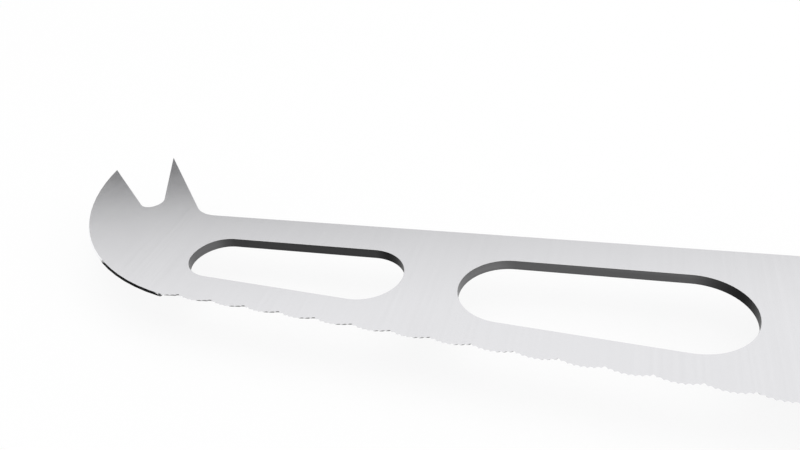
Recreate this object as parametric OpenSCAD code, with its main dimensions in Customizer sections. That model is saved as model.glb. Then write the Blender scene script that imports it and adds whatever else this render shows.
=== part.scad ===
// Soft cheese knife: a slotted, double-serrated steel blade with a forked tip, and a full-tang
// handle of two scales and two bolster halves, held by cutler's rivets and peened pins.
// It lies on its right side. X runs from the fork to the butt, Y from the cutting edge to the
// spine, and Z up through the sheet. Modules draw it with the spine on the X axis, the heel at
// x = 0 and the middle of the sheet at z = 0, and place() then moves each piece to its rest.

/* [Blade] */
// Length of the blade's left face, from the front prong's tip to the heel
blade_len = 140; // [128:1:170]
// Thickness of the steel sheet that blade and tang are cut from
sheet_t = 1.7; // [1.4:0.1:2.4]
// Height of the blade at the heel, from the spine to the cusps of the edge
heel_h = 31.64; // [30:0.02:36]
// Angle between the spine and the cutting edge, in degrees
edge_angle = 4.83; // [4:0.01:5.2]
// Radius of the round belly between the fork and the edge
belly_r = 41.4; // [40:0.2:44]
// How far the belly's circle reaches below the lobes
belly_drop = 0.12; // [0:0.01:0.4]
// Height of the blunt slope along the belly
belly_land = 0.35; // [0.2:0.05:1]
// How far that slope stands out from the left face
belly_lip = 0.26; // [0.1:0.02:0.6]
// Width of the bevel under the belly
belly_bevel = 1.3; // [0.6:0.1:2]
// Radius where the heel runs into the underside of the tang
heel_r = 3; // [1:0.5:5]

/* [Fork] */
// Height of the front prong's tip above the spine
front_tip_y = 14.3; // [11:0.1:17]
// Distance of the back prong's tip behind the front one
back_tip_x = 9.7; // [8:0.1:12]
// Height of the back prong's tip above the spine
back_tip_y = 20.9; // [17:0.1:24]
// Radius at the bottom of the notch between the prongs
notch_r = 2.2; // [1.4:0.1:3]
// Distance of the notch's centre behind the front tip
notch_x = 15.05; // [14:0.05:17]
// Height of the notch's centre above the spine
notch_y = 3.4; // [2:0.1:5]
// Distance behind the front tip at which the back prong's side reaches the spine
root_x = 27.5; // [25:0.1:31]
// Radius between the back prong and the spine
root_r = 9.9; // [5:0.1:14]

/* [Edge] */
// Length of one lobe of the cutting edge
lobe_pitch = 6.04; // [5:0.02:7.5]
// How far the lobes stand below the line through the cusps
lobe_depth = 0.94; // [0.6:0.02:1.4]
// Fine teeth along one lobe
teeth_per_lobe = 7; // [5:1:10]
// Depth of the gullets between the fine teeth
tooth_depth = 0.27; // [0.12:0.01:0.35]
// Length of plain edge between the last lobe and the heel
heel_plain = 8.35; // [6:0.05:12]
// Angle at which the teeth are ground through the sheet, in degrees
facet_angle = 40; // [30:1:50]
// Width of the broad grind on the right side of the edge
grind_w = 4.2; // [3:0.1:4.6]
// Thickness that the broad grind leaves at the cusps
grind_t = 0.95; // [0.8:0.05:1.2]

/* [Slots] */
// Steel left between the slots and the spine
spine_web = 6.88; // [5:0.02:9]
// Steel left between the slots and the cusps
edge_web = 5.17; // [4.8:0.01:6]
// Distance behind the front tip of the front slot's first centre
slot_1_x = 37.7; // [37:0.1:41]
// Distance between the front slot's two centres
slot_1_run = 25.85; // [18:0.05:28]
// Distance behind the front tip of the rear slot's first centre
slot_2_x = 86.75; // [85:0.05:90]
// Distance between the rear slot's two centres
slot_2_run = 26.2; // [18:0.1:29]

/* [Handle] */
// Length of the handle, from the heel to the butt
handle_len = 114; // [104:1:125]
// Thickness of the whole handle
handle_t = 17; // [14:0.5:20]
// Height of the handle at the bolsters
front_h = 24.4; // [23:0.1:26]
// Height of the handle at its waist
waist_h = 21.6; // [20:0.1:24]
// Distance from the heel to the waist
waist_x = 40; // [34:1:50]
// Depth of the lowest point at the butt below the spine
butt_y = 27.4; // [25:0.1:29]
// Distance of that lowest point from the end of the butt
butt_x = 15; // [12:0.5:20]
// Length of the rounded end of the butt
butt_round = 17; // [14:0.5:22]
// How far the back of the handle falls towards the butt
back_drop = 2.6; // [1:0.1:4]
// Radius along the outer edges of the scales and bolsters
edge_r = 4; // [2.5:0.1:4.4]

/* [Bolsters] */
// Length of the bolster halves
bolster_len = 14; // [13:0.5:18]
// Radius of the scoop at the front of a bolster half
scoop_r = 8.6; // [7:0.1:9]
// Height of a bolster half's front lip above the sheet
lip_h = 0.6; // [0.3:0.1:1.5]
// Diameter of the peened pins through the bolster halves
pin_d = 3; // [2:0.1:3.2]
// Distance between the two pins
pin_gap = 10.5; // [8:0.5:12]

/* [Rivets] */
// Number of rivets through the scales
rivet_count = 3; // [2:1:4]
// Distance from the heel to the first rivet
rivet_start = 29; // [25:0.5:32]
// Distance from the last rivet to the end of the butt
rivet_end = 23; // [19:0.5:26]
// Diameter of the rivet heads
head_d = 8; // [7:0.1:9]
// Thickness of the rivet heads
head_t = 2; // [1.4:0.1:3]
// Outer diameter of the hollow shank
sleeve_d = 5; // [4.6:0.1:5.6]
// Diameter of the solid shank that is pressed into the hollow one
post_d = 3.2; // [2.6:0.1:3.6]
// Room left between the end of either shank and the other rivet half's head
shank_gap = 1; // [0.4:0.1:2]
// Room round the rivets in the tang
tang_clearance = 0.1; // [0.05:0.01:0.2]

/* [Hidden] */
$fn = 96;
// How far cuts run past the faces they open
overrun = 2;
// Angle between the points of a round stretch of the sheet's outline, in degrees
arc_step = 5;

// Shares along one lobe and one gullet, and of the butt's outline
start_share = 0.575;
gullet_shares = [0, 0.28, 0.5, 0.72];
butt_round_share = 0.8;
outline_shares = [for (i = [0 : 24]) i / 24];
butt_angles = [for (i = [1 : 15]) 90 - 180 * i / 16];
edge_round_steps = 6;

// Points round an arc of the sheet's outline
function arc(centre, radius, from, to) =
    let (steps = ceil(abs(to - from) / arc_step))
    [for (i = [0 : steps])
        let (a = from + i / steps * (to - from))
        centre + radius * [cos(a), sin(a)]];

// The cutting edge: u runs along the cusps, 0 at the heel, and v from the cusps to the spine
function u_of(p) = p.x * cos(edge_angle) - (p.y + heel_h) * sin(edge_angle);
function v_of(p) = p.x * sin(edge_angle) + (p.y + heel_h) * cos(edge_angle);
function point_at(u, v) = [
    u * cos(edge_angle) + v * sin(edge_angle),
    v * cos(edge_angle) - u * sin(edge_angle) - heel_h
];
function cusp_y(x) = -heel_h - x * tan(edge_angle);

// The belly's circle passes through the front tip and crosses the line along the lobes
front_tip = [-blade_len, front_tip_y];
belly_v = belly_r - lobe_depth - belly_drop;
belly_u = u_of(front_tip) + sqrt(pow(belly_r, 2) - pow(belly_v - v_of(front_tip), 2));
belly_centre = point_at(belly_u, belly_v);
belly_foot = point_at(belly_u, belly_v - belly_r);

// The prongs: two tips, and the notch that runs from both to a round bottom
back_tip = [back_tip_x - blade_len, back_tip_y];
notch_centre = [notch_x - blade_len, notch_y];
root = [root_x - blade_len, 0];
// The angle at which a line from a tip touches the notch's circle, on the side given
function touch_angle(tip, side) =
    let (d = tip - notch_centre)
    atan2(d.y, d.x) + side * acos(notch_r / norm(d));
// The point beyond a tip on the line that reaches it from the point given
function beyond(from, tip) = tip + overrun * (tip - from) / norm(tip - from);
notch_arc = arc(notch_centre, notch_r, touch_angle(front_tip, 1), touch_angle(back_tip, -1) + 360);
front_end = beyond(notch_arc[0], front_tip);
back_end = beyond(notch_arc[len(notch_arc) - 1], back_tip);
side_end = beyond(root, back_tip);
side_angle = atan2(back_tip.y - root.y, back_tip.x - root.x);
root_run = root_r / tan(side_angle / 2);

// The lobes, counted from the heel until they reach the belly
last_cusp = -heel_plain;
lobe_count = ceil((last_cusp - belly_u) / lobe_pitch);
first_cusp = last_cusp - lobe_count * lobe_pitch;
teeth_start = first_cusp - start_share * lobe_pitch;
// How far the tooth tips stand below the cusps, at a share along a lobe
function lobe_v(share) = tooth_depth + (lobe_depth - tooth_depth) * (1 - pow(2 * share - 1, 2));
// A point of the toothed edge: lobe, tooth and a share from one tooth tip to the next
function edge_point(lobe, tooth, share) =
    let (along = (tooth + 0.5 + share) / teeth_per_lobe)
    let (sink = tooth_depth * (1 - pow(2 * share - 1, 2)))
    [first_cusp + (lobe + along) * lobe_pitch, sink - lobe_v(along - floor(along))];
all_edge_points = [
    for (lobe = [-1 : lobe_count - 1])
        for (tooth = [0 : teeth_per_lobe - 1])
            for (share = gullet_shares)
                edge_point(lobe, tooth, share)
];
edge_points = [for (p = all_edge_points) if (p.x > teeth_start && p.x < last_cusp) p];
last_point = [last_cusp, 0];

// The handle's outline, from the spine round the butt to the underside
butt_end = handle_len - butt_round;
butt_low = handle_len - butt_x;
function ease(share) = (1 - cos(180 * min(max(share, 0), 1))) / 2;
function back_y(x) =
    -back_drop * pow(max(x - bolster_len, 0) / (handle_len - bolster_len), 2);
waist_y = back_y(waist_x) - waist_h;
function under_y(x) = x < waist_x
    ? -front_h + (waist_y + front_h) * ease((x - bolster_len) / (waist_x - bolster_len))
    : waist_y - (butt_y + waist_y) * ease((x - waist_x) / (butt_low - waist_x));
function mid_y(x) = (back_y(x) + under_y(x)) / 2;
function half_h(x) = (back_y(x) - under_y(x)) / 2;
function butt_point(a) =
    let (x = butt_end + butt_round * pow(cos(a), butt_round_share))
    [x, mid_y(x) + half_h(x) * sign(a) * pow(abs(sin(a)), butt_round_share)];
butt_run = butt_end - bolster_len;
handle_outline = concat(
    [for (s = outline_shares) [bolster_len + s * butt_run, back_y(bolster_len + s * butt_run)]],
    [for (a = butt_angles) butt_point(a)],
    [for (s = outline_shares) [butt_end - s * butt_run, under_y(butt_end - s * butt_run)]]
);
// The same outline drawn in by a distance; its two ends stay level with the bolsters
function drawn_in(distance) =
    let (last = len(handle_outline) - 1)
    [for (i = [0 : last])
        let (along = handle_outline[min(i + 1, last)] - handle_outline[max(i - 1, 0)])
        let (t = i == 0 || i == last ? [along.x, 0] : along)
        handle_outline[i] + distance * [t.y, -t.x] / norm(t)];
// Places of the fasteners, and the point that the knife's origin lies on
scoop_z = sheet_t / 2 + lip_h + scoop_r;
scoop_end = sqrt(pow(scoop_r, 2) - pow(scoop_z - handle_t / 2, 2));
pin_x = (scoop_end + bolster_len) / 2;
rivet_step = (handle_len - rivet_end - rivet_start) / (rivet_count - 1);
function rivet_x(i) = rivet_start + (i - 1) * rivet_step;
rest_x = rivet_x(1) + rivet_step / 2;
rest_y = mid_y(rest_x);

// Moves a piece from the drawing position to its rest on the right scale
module place() {
    translate([-rest_x, -rest_y, handle_t / 2]) children();
}

// Turns a shape drawn in u and v into the blade
module on_edge() {
    translate([0, -heel_h, 0]) rotate([0, 0, -edge_angle]) children();
}

// A tapered slot, its top along the spine and its bottom along the cutting edge
module slot(from, run) {
    c = cos(edge_angle);
    function radius(x) = (heel_h + x * tan(edge_angle) - spine_web - edge_web / c) * c / (1 + c);
    function centre(x) = [x, -spine_web - radius(x)];
    front = from - blade_len;
    rear = front + run;
    polygon(concat(
        arc(centre(front), radius(front), 90, 270 - edge_angle),
        arc(centre(rear), radius(rear), -90 - edge_angle, 90)
    ));
}

// The notch between the prongs, open towards the front and the spine side
module notch() {
    polygon(concat(
        notch_arc,
        [back_end, [front_end.x - overrun, back_end.y + overrun], front_end]
    ));
}

// Blade and tang in one piece, before grinding
module sheet_outline() {
    low_left = -blade_len - 2 * overrun;
    below = lobe_depth + overrun;
    difference() {
        intersection() {
            polygon(concat(
                [
                    [low_left, cusp_y(low_left) - below],
                    [low_left, back_end.y + overrun],
                    side_end
                ],
                arc([root.x + root_run, root_r], root_r, side_angle + 90, 270),
                handle_outline,
                arc([heel_r, -front_h - heel_r], heel_r, 90, 180),
                [[0, cusp_y(0) - below]]
            ));
            union() {
                translate(belly_centre) circle(belly_r + belly_lip);
                translate([belly_foot.x, -2 * heel_h])
                    square([blade_len + handle_len, 2 * (heel_h + back_tip_y)]);
            }
        }
        notch();
        slot(slot_1_x, slot_1_run);
        slot(slot_2_x, slot_2_run);
        pin_places() circle(d = pin_d);
        for (i = [1 : rivet_count])
            translate([rivet_x(i), mid_y(rivet_x(i))])
                circle(d = sleeve_d + 2 * tang_clearance);
    }
}

// What the teeth's grinding takes away, along its own direction through the sheet
module tooth_grind() {
    tilt = 90 - facet_angle;
    lift = sheet_t / 2 * sin(tilt);
    low = -(lobe_depth + 2 * overrun) * cos(tilt) - lift;
    profile = concat(
        [[teeth_start, -lobe_depth - overrun]],
        edge_points,
        [last_point, [overrun, 0]]
    );
    on_edge() rotate([tilt, 0, 0]) linear_extrude(4 * sheet_t, center = true)
        polygon(concat(
            [for (p = profile) [p.x, p.y * cos(tilt) + lift]],
            [[overrun, low], [teeth_start, low]]
        ));
}

// What the broad grind takes from the right side along the edge
module edge_grind() {
    slope = (sheet_t - grind_t) / grind_w;
    out = lobe_depth + 2 * overrun;
    bottom = -sheet_t / 2;
    length = blade_len + front_tip_y;
    on_edge() translate([overrun, 0, 0]) rotate([90, 0, -90]) linear_extrude(length)
        polygon([
            [-grind_w - overrun, bottom - slope * overrun],
            [out, bottom + slope * (grind_w + out)],
            [out, bottom - overrun],
            [-grind_w - overrun, bottom - overrun]
        ]);
}

// What the bevel takes from the right side along the belly, and the slope from the left
module belly_grind() {
    edge = belly_r + belly_lip;
    rise = sheet_t - belly_land;
    slope = rise / belly_bevel;
    bottom = -sheet_t / 2;
    blunt = belly_land / belly_lip;
    tip_angle = acos((belly_u - u_of(front_end)) / norm(front_end - belly_centre));
    end_angle = acos((belly_u - first_cusp) / belly_r);
    on_edge() translate([belly_u, belly_v, 0]) rotate([0, 0, 180 + tip_angle])
        rotate_extrude(angle = end_angle - tip_angle) {
            polygon([
                [edge - belly_bevel - overrun, bottom - slope * overrun],
                [edge + overrun, bottom + rise + slope * overrun],
                [edge + overrun, bottom - slope * overrun]
            ]);
            polygon([
                [belly_r - overrun, -bottom + blunt * overrun],
                [edge + overrun, -bottom + blunt * overrun],
                [edge + overrun, bottom + rise - blunt * overrun]
            ]);
        }
}

// The sheet steel blade, with its fork, slots, teeth and full tang
module blade() {
    color("silver") place() difference() {
        translate([0, 0, -sheet_t / 2]) linear_extrude(sheet_t) sheet_outline();
        edge_grind();
        tooth_grind();
        belly_grind();
    }
}

// One scale without its holes, from the sheet to its flat outer face
module scale_body() {
    count = len(handle_outline);
    last = count - 1;
    rings = concat(
        [[sheet_t / 2, 0]],
        [for (i = [0 : edge_round_steps])
            let (a = 90 * i / edge_round_steps)
            [handle_t / 2 - edge_r * (1 - sin(a)), edge_r * (1 - cos(a))]]
    );
    top = (len(rings) - 1) * count;
    // Strips across the outline, from the bolster to the butt
    strips = concat(
        [for (i = [0 : last / 2 - 2]) [last - i, last - 1 - i, i + 1, i]],
        [[last / 2 + 1, last / 2, last / 2 - 1]]
    );
    polyhedron(
        points = [
            for (ring = rings)
                for (p = drawn_in(ring[1]))
                    [p.x, p.y, ring[0]]
        ],
        faces = concat(
            strips,
            [for (s = strips) [for (k = [len(s) - 1 : -1 : 0]) top + s[k]]],
            [for (k = [0 : len(rings) - 2])
                for (i = [0 : count - 1])
                    let (a = k * count + i)
                    let (b = k * count + (i + 1) % count)
                    [a, b, b + count, a + count]]
        )
    );
}

// The places of the two pins through the bolsters
module pin_places() {
    for (side = [-1, 1])
        translate([pin_x, mid_y(pin_x) + side * pin_gap / 2]) children();
}

// The left bolster half; the right one is its mirror image
module bolster_half() {
    side = handle_t / 2;
    difference() {
        rotate([90, 0, 90]) linear_extrude(bolster_len) difference() {
            union() {
                translate([-front_h, 0]) square([front_h, side - edge_r]);
                translate([edge_r - front_h, 0]) square([front_h - 2 * edge_r, side]);
                for (y = [edge_r - front_h, -edge_r])
                    translate([y, side - edge_r]) circle(edge_r);
            }
            translate([-heel_h, -sheet_t / 2]) square([2 * heel_h, sheet_t]);
        }
        translate([0, mid_y(0), scoop_z]) rotate([90, 0, 0])
            cylinder(r = scoop_r, h = 2 * heel_h, center = true);
        pin_places() cylinder(d = pin_d, h = 2 * handle_t, center = true);
    }
}

module bolster_left() {
    color("gainsboro") place() bolster_half();
}

module bolster_right() {
    color("gainsboro") place() mirror([0, 0, 1]) bolster_half();
}

// The left scale; the right one is its mirror image
module scale_half() {
    difference() {
        scale_body();
        for (i = [1 : rivet_count]) translate([rivet_x(i), mid_y(rivet_x(i)), 0]) {
            cylinder(d = sleeve_d, h = 2 * handle_t, center = true);
            translate([0, 0, handle_t / 2 - head_t]) cylinder(d = head_d, h = head_t + overrun);
        }
    }
}

module scale_left() {
    color("dimgray") place() scale_half();
}

module scale_right() {
    color("dimgray") place() mirror([0, 0, 1]) scale_half();
}

// A pin through both bolster halves and the tang, peened flush
module bolster_pin(i) {
    y = mid_y(pin_x) + (2 * i - 3) * pin_gap / 2;
    color("gainsboro") place() translate([pin_x, y, 0])
        cylinder(d = pin_d, h = handle_t, center = true);
}

// The solid half of a rivet, its head flush with the left scale
module rivet_post(i) {
    length = handle_t - 2 * head_t - shank_gap;
    color("silver") place() translate([rivet_x(i), mid_y(rivet_x(i)), handle_t / 2]) {
        translate([0, 0, -head_t]) cylinder(d = head_d, h = head_t);
        translate([0, 0, -head_t - length]) cylinder(d = post_d, h = length + head_t / 2);
    }
}

// The hollow half of a rivet, its head flush with the right scale
module rivet_sleeve(i) {
    length = handle_t - 2 * head_t - shank_gap;
    color("silver") place() translate([rivet_x(i), mid_y(rivet_x(i)), -handle_t / 2])
        difference() {
            union() {
                cylinder(d = head_d, h = head_t);
                cylinder(d = sleeve_d, h = head_t + length);
            }
            translate([0, 0, head_t]) cylinder(d = post_d, h = length + overrun);
        }
}

blade();
bolster_left();
bolster_right();
scale_left();
scale_right();
for (i = [1 : 2]) bolster_pin(i);
for (i = [1 : rivet_count]) rivet_post(i);
for (i = [1 : rivet_count]) rivet_sleeve(i);
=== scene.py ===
"""Looks of a soft cheese knife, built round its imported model.

Every piece is in metres, in the model's own frame. The knife lies on its right side: +X runs from
the fork to the butt, +Y from the cutting edge to the spine, and +Z up through the blade.
"""

import logging
import math
from collections.abc import Iterable
from dataclasses import dataclass
from enum import Enum, IntEnum

import bmesh
import bpy
from mathutils import Matrix, Vector


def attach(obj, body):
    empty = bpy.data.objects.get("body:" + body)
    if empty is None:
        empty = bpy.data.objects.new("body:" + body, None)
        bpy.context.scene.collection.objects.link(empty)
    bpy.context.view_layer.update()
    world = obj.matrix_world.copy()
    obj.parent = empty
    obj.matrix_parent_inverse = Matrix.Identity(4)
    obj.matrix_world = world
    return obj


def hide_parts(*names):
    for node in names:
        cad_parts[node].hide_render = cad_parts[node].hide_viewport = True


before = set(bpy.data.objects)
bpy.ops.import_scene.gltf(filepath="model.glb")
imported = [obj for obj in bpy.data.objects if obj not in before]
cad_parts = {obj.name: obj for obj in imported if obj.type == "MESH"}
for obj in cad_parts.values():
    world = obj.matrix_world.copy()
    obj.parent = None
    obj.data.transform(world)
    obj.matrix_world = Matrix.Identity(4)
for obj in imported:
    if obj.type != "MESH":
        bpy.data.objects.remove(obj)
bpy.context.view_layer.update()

LOG = logging.getLogger("cheese_knife")
MM = 0.001
BODY = "root"
# Attributes that carry values from the meshes to the finishes and trees
AXIS_DISTANCE = "axis_distance"
# Painted shade of the slots' walls, darker where they face the fork, as if lit from the handle's
# side
PAINTED_WALL_SHADE = "cut_tone"
INWARD = "inward"
# The drawing's heel, spine and middle of the sheet, in the model's frame
DRAWING = Vector((-44.5 * MM, 11.049 * MM, 8.5 * MM))
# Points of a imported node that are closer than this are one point
SAME_POINT = 0.0002 * MM
# Packed triangles that meet at less than this lie in one flat face, in degrees
FLAT_ANGLE = 0.3
WHITE = (1, 1, 1, 1)

Colour = tuple[float, float, float]
Point = tuple[float, float, float]
Curve = tuple[tuple[float, float], ...]
Socket = bpy.types.NodeSocket


class Grain(Enum):
    """The way that the fine lines of a finish run: 1 on each axis that they follow."""

    ACROSS = (0, 1, 1)
    ROUND = (1, 1, 0)
    TURNED = (0, 0, 0)


class BladeFace(IntEnum):
    """The kinds of face on the blade, in the order of its materials."""

    FLAT = 0
    WALL = 1
    EDGE = 2
    GROUND = 3


class Canvas:
    """Adds and links the nodes of one tree, from left to right."""

    STEP = 220

    def __init__(self, tree: bpy.types.NodeTree) -> None:
        """Empties the tree.

        Args:
            tree: The tree that the nodes go into.
        """
        self.tree = tree
        self.tree.nodes.clear()
        self.count = 0

    def add(self, kind: str, inputs: dict | None = None, **settings: object) -> bpy.types.Node:
        """Adds one node.

        Args:
            kind: The node's type name.
            inputs: Values or sockets for the node's inputs, by name or place.
            **settings: Values for the node's own properties.

        Returns:
            The node.
        """
        node = self.tree.nodes.new(kind)
        node.location = (self.STEP * self.count, 0)
        self.count += 1
        for key, value in settings.items():
            setattr(node, key, value)
        for key, value in (inputs or {}).items():
            if isinstance(value, Socket):
                self.tree.links.new(value, node.inputs[key])
            else:
                node.inputs[key].default_value = value
        return node

    def math(self, operation: str, *values: float | Socket) -> Socket:
        """Adds a Math node.

        Args:
            operation: What the node works out.
            *values: Numbers or sockets.

        Returns:
            The result.
        """
        return self.add("ShaderNodeMath", dict(enumerate(values)), operation=operation).outputs[0]

    def spread(self, value: Socket, low: float, high: float) -> Socket:
        """Maps a value from 0 to 1 onto the range given.

        Args:
            value: The socket to map.
            low: The result at 0.
            high: The result at 1.

        Returns:
            The mapped value.
        """
        inputs = {"Value": value, "To Min": low, "To Max": high}
        return self.add("ShaderNodeMapRange", inputs).outputs["Result"]

    def ease(self, value: Socket, start: float, end: float, low: float, high: float) -> Socket:
        """Maps a value smoothly from one range onto another.

        Args:
            value: The socket to map.
            start: The value that gives the low result.
            end: The value that gives the high result.
            low: The low result.
            high: The high result.

        Returns:
            The mapped value.
        """
        inputs = {"Value": value, "From Min": start, "From Max": end, "To Min": low, "To Max": high}
        node = self.add("ShaderNodeMapRange", inputs, interpolation_type="SMOOTHSTEP")
        return node.outputs["Result"]

    def scaled(self, vector: Socket | Colour, factor: Socket) -> Socket:
        """Multiplies a vector or a colour by a value.

        Args:
            vector: The vector or colour.
            factor: The value.

        Returns:
            The product.
        """
        inputs = {0: vector, "Scale": factor}
        return self.add("ShaderNodeVectorMath", inputs, operation="SCALE").outputs[0]

    def noise(self, seed: Socket | None = None, **inputs: float | Socket) -> Socket:
        """Adds a cloudy noise.

        Args:
            seed: The seed, for a noise that each finish has of its own.
            **inputs: Values or sockets for the node's inputs.

        Returns:
            The noise, from 0 to 1.
        """
        if seed is None:
            return self.add("ShaderNodeTexNoise", inputs).outputs["Fac"]
        inputs["W"] = seed
        return self.add("ShaderNodeTexNoise", inputs, noise_dimensions="4D").outputs["Fac"]

    def bump(self, height: Socket, strength: float, distance: float) -> Socket:
        """Turns a height into a normal.

        Args:
            height: The height.
            strength: How much of the relief shows.
            distance: How high the relief is.

        Returns:
            The normal.
        """
        inputs = {"Height": height, "Strength": strength, "Distance": distance}
        return self.add("ShaderNodeBump", inputs).outputs[0]


def node_group(
    kind: str, name: str, inputs: dict[str, str], outputs: dict[str, str]
) -> tuple[Canvas, bpy.types.bpy_prop_collection]:
    """Starts a node group with named sockets.

    Args:
        kind: The type of its tree.
        name: The group's name.
        inputs: What each input holds, by name.
        outputs: What each output holds, by name.

    Returns:
        The group's canvas, and the sockets that hold its inputs there.
    """
    tree = bpy.data.node_groups.new(name, kind)
    for way, sockets in (("INPUT", inputs), ("OUTPUT", outputs)):
        for key, holds in sockets.items():
            tree.interface.new_socket(key, in_out=way, socket_type=f"NodeSocket{holds}")
    canvas = Canvas(tree)
    return canvas, canvas.add("NodeGroupInput").outputs


def surface(name: str) -> tuple[bpy.types.Material, Canvas, Socket]:
    """Starts a material.

    Args:
        name: The material's name.

    Returns:
        The material, its canvas and the place on the piece.
    """
    made = bpy.data.materials.new(name)
    made.use_nodes = True
    canvas = Canvas(made.node_tree)
    return made, canvas, canvas.add("ShaderNodeTexCoord").outputs["Object"]


class Effects:
    """The shader groups that several finishes share, each built once."""

    # The noise at which a smudge starts and at which it is full
    SMUDGE_RANGE = (0.42, 0.72)
    # Each layer of scratches: its turn in radians and the gap between them in metres
    SCRATCHES = ((0.4, 0.019), (1.9, 0.027), (2.6, 0.023))
    # The length and width of a scratch, in gaps
    SCRATCH_LENGTH = 8
    SCRATCH_WIDTH = 0.0016
    # The size of a flow mark, in grains
    FLOW_SIZE = 60.0

    def __init__(self) -> None:
        """Builds the groups."""
        self.lines = self.build_lines()
        self.handling = self.build_handling()
        self.pebble = self.build_pebble()

    def build_lines(self) -> bpy.types.NodeTree:
        """Fine parallel lines left by brushing, grinding or cutting.

        Returns:
            A group that gives the height of the lines and a slower change of tone.
        """
        canvas, given = node_group(
            "ShaderNodeTree",
            "parallel_lines",
            {"Vector": "Vector", "Scale": "Vector", "Seed": "Float"},
            {"Height": "Float", "Tone": "Float"},
        )
        stretch = {"Vector": given["Vector"], "Scale": given["Scale"]}
        place = canvas.add("ShaderNodeMapping", stretch).outputs[0]
        fine = canvas.noise(given["Seed"], Vector=place, Scale=1, Detail=3, Roughness=0.65)
        slow = canvas.noise(given["Seed"], Vector=place, Scale=0.21, Detail=2)
        canvas.add("NodeGroupOutput", {"Height": fine, "Tone": slow})
        return canvas.tree

    def build_handling(self) -> bpy.types.NodeTree:
        """Soft smudges and a few hairline scratches left by use and washing.

        Returns:
            A group that gives a mask of smudges and a mask of scratches.
        """
        canvas, given = node_group(
            "ShaderNodeTree",
            "handling_marks",
            {"Vector": "Vector", "Smudge Size": "Float", "Seed": "Float"},
            {"Smudge": "Float", "Scratch": "Float"},
        )
        where = given["Vector"]
        per_metre = canvas.math("DIVIDE", 1.0, given["Smudge Size"])
        cloud = canvas.noise(
            given["Seed"], Vector=where, Scale=per_metre, Detail=4, Distortion=0.6
        )
        smudge = canvas.ease(cloud, *self.SMUDGE_RANGE, 0, 1)
        scratch = None
        for turn, gap in self.SCRATCHES:
            stretch = (1 / gap, 1 / (self.SCRATCH_LENGTH * gap), 1 / gap)
            tilt = canvas.add(
                "ShaderNodeMapping", {"Vector": where, "Rotation": (0, 0, turn), "Scale": stretch}
            )
            cell = canvas.add(
                "ShaderNodeTexVoronoi",
                {"Vector": tilt.outputs[0], "Scale": 1, "Randomness": 1},
                feature="DISTANCE_TO_EDGE",
            )
            line = canvas.math("LESS_THAN", cell.outputs["Distance"], self.SCRATCH_WIDTH)
            scratch = line if scratch is None else canvas.math("MAXIMUM", scratch, line)
        canvas.add("NodeGroupOutput", {"Smudge": smudge, "Scratch": scratch})
        return canvas.tree

    def build_pebble(self) -> bpy.types.NodeTree:
        """The even pebbled grain of a sparked mould.

        Returns:
            A group that gives the height of the grain and a slow flow mark.
        """
        canvas, given = node_group(
            "ShaderNodeTree",
            "mould_grain",
            {"Vector": "Vector", "Grain Size": "Float"},
            {"Height": "Float", "Flow": "Float"},
        )
        where = given["Vector"]
        per_metre = canvas.math("DIVIDE", 1.0, given["Grain Size"])
        cells = canvas.add(
            "ShaderNodeTexVoronoi",
            {"Vector": where, "Scale": per_metre, "Smoothness": 0.8},
            feature="SMOOTH_F1",
        )
        fine = canvas.noise(Vector=where, Scale=per_metre, Detail=3)
        height = canvas.math("ADD", cells.outputs["Distance"], fine)
        slower = canvas.math("DIVIDE", per_metre, self.FLOW_SIZE)
        flow = canvas.noise(Vector=where, Scale=slower, Detail=2)
        canvas.add("NodeGroupOutput", {"Height": height, "Flow": flow})
        return canvas.tree


@dataclass(frozen=True)
class Steel:
    """A steel finish: fine parallel lines on a bright metal, with marks of use, and painted shade
    where an attribute gives it.
    """

    name: str
    colour: Colour
    roughness: float
    grain: Grain
    line_gap: float = 0.12 * MM
    line_length: float = 9 * MM
    line_depth: float = 0.4
    line_height: float = 0.01 * MM
    unevenness: float = 0.03
    tone: float = 0.03
    smudge: float = 0.03
    smudge_size: float = 18 * MM
    scratch: float = 0.01
    seed: float = 1
    # An attribute whose value multiplies the colour, which paints shade
    painted_shade_by: str = ""

    def material(self, effects: Effects) -> bpy.types.Material:
        """Builds the finish.

        Args:
            effects: The shared shader groups.

        Returns:
            The material.
        """
        made, canvas, where = surface(self.name)
        track = where
        if self.grain is Grain.TURNED:
            distance = canvas.add("ShaderNodeAttribute", attribute_name=AXIS_DISTANCE)
            track = distance.outputs["Vector"]
        scale = [1 / (self.line_length if share else self.line_gap) for share in self.grain.value]
        lines = canvas.add(
            "ShaderNodeGroup",
            {"Vector": track, "Scale": scale, "Seed": self.seed},
            node_tree=effects.lines,
        ).outputs
        marks = canvas.add(
            "ShaderNodeGroup",
            {"Vector": where, "Smudge Size": self.smudge_size, "Seed": self.seed},
            node_tree=effects.handling,
        ).outputs
        shade = canvas.spread(lines["Tone"], 1 - self.tone, 1 + self.tone)
        # Painted shade from the attribute darkens the colour
        if self.painted_shade_by:
            painted_shade_node = canvas.add("ShaderNodeAttribute", attribute_name=self.painted_shade_by)
            shade = canvas.math("MULTIPLY", shade, painted_shade_node.outputs["Fac"])
        low, high = self.roughness - self.unevenness, self.roughness + self.unevenness
        rough = canvas.spread(lines["Height"], low, high)
        rough = canvas.math("MULTIPLY_ADD", marks["Smudge"], self.smudge, rough)
        rough = canvas.math("MULTIPLY_ADD", marks["Scratch"], self.scratch, rough)
        shader = canvas.add(
            "ShaderNodeBsdfPrincipled",
            {
                "Base Color": canvas.scaled(self.colour, shade),
                "Metallic": 1.0,
                "Roughness": rough,
                "Normal": canvas.bump(lines["Height"], self.line_depth, self.line_height),
            },
        )
        canvas.add("ShaderNodeOutputMaterial", {"Surface": shader.outputs[0]})
        return made


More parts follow.
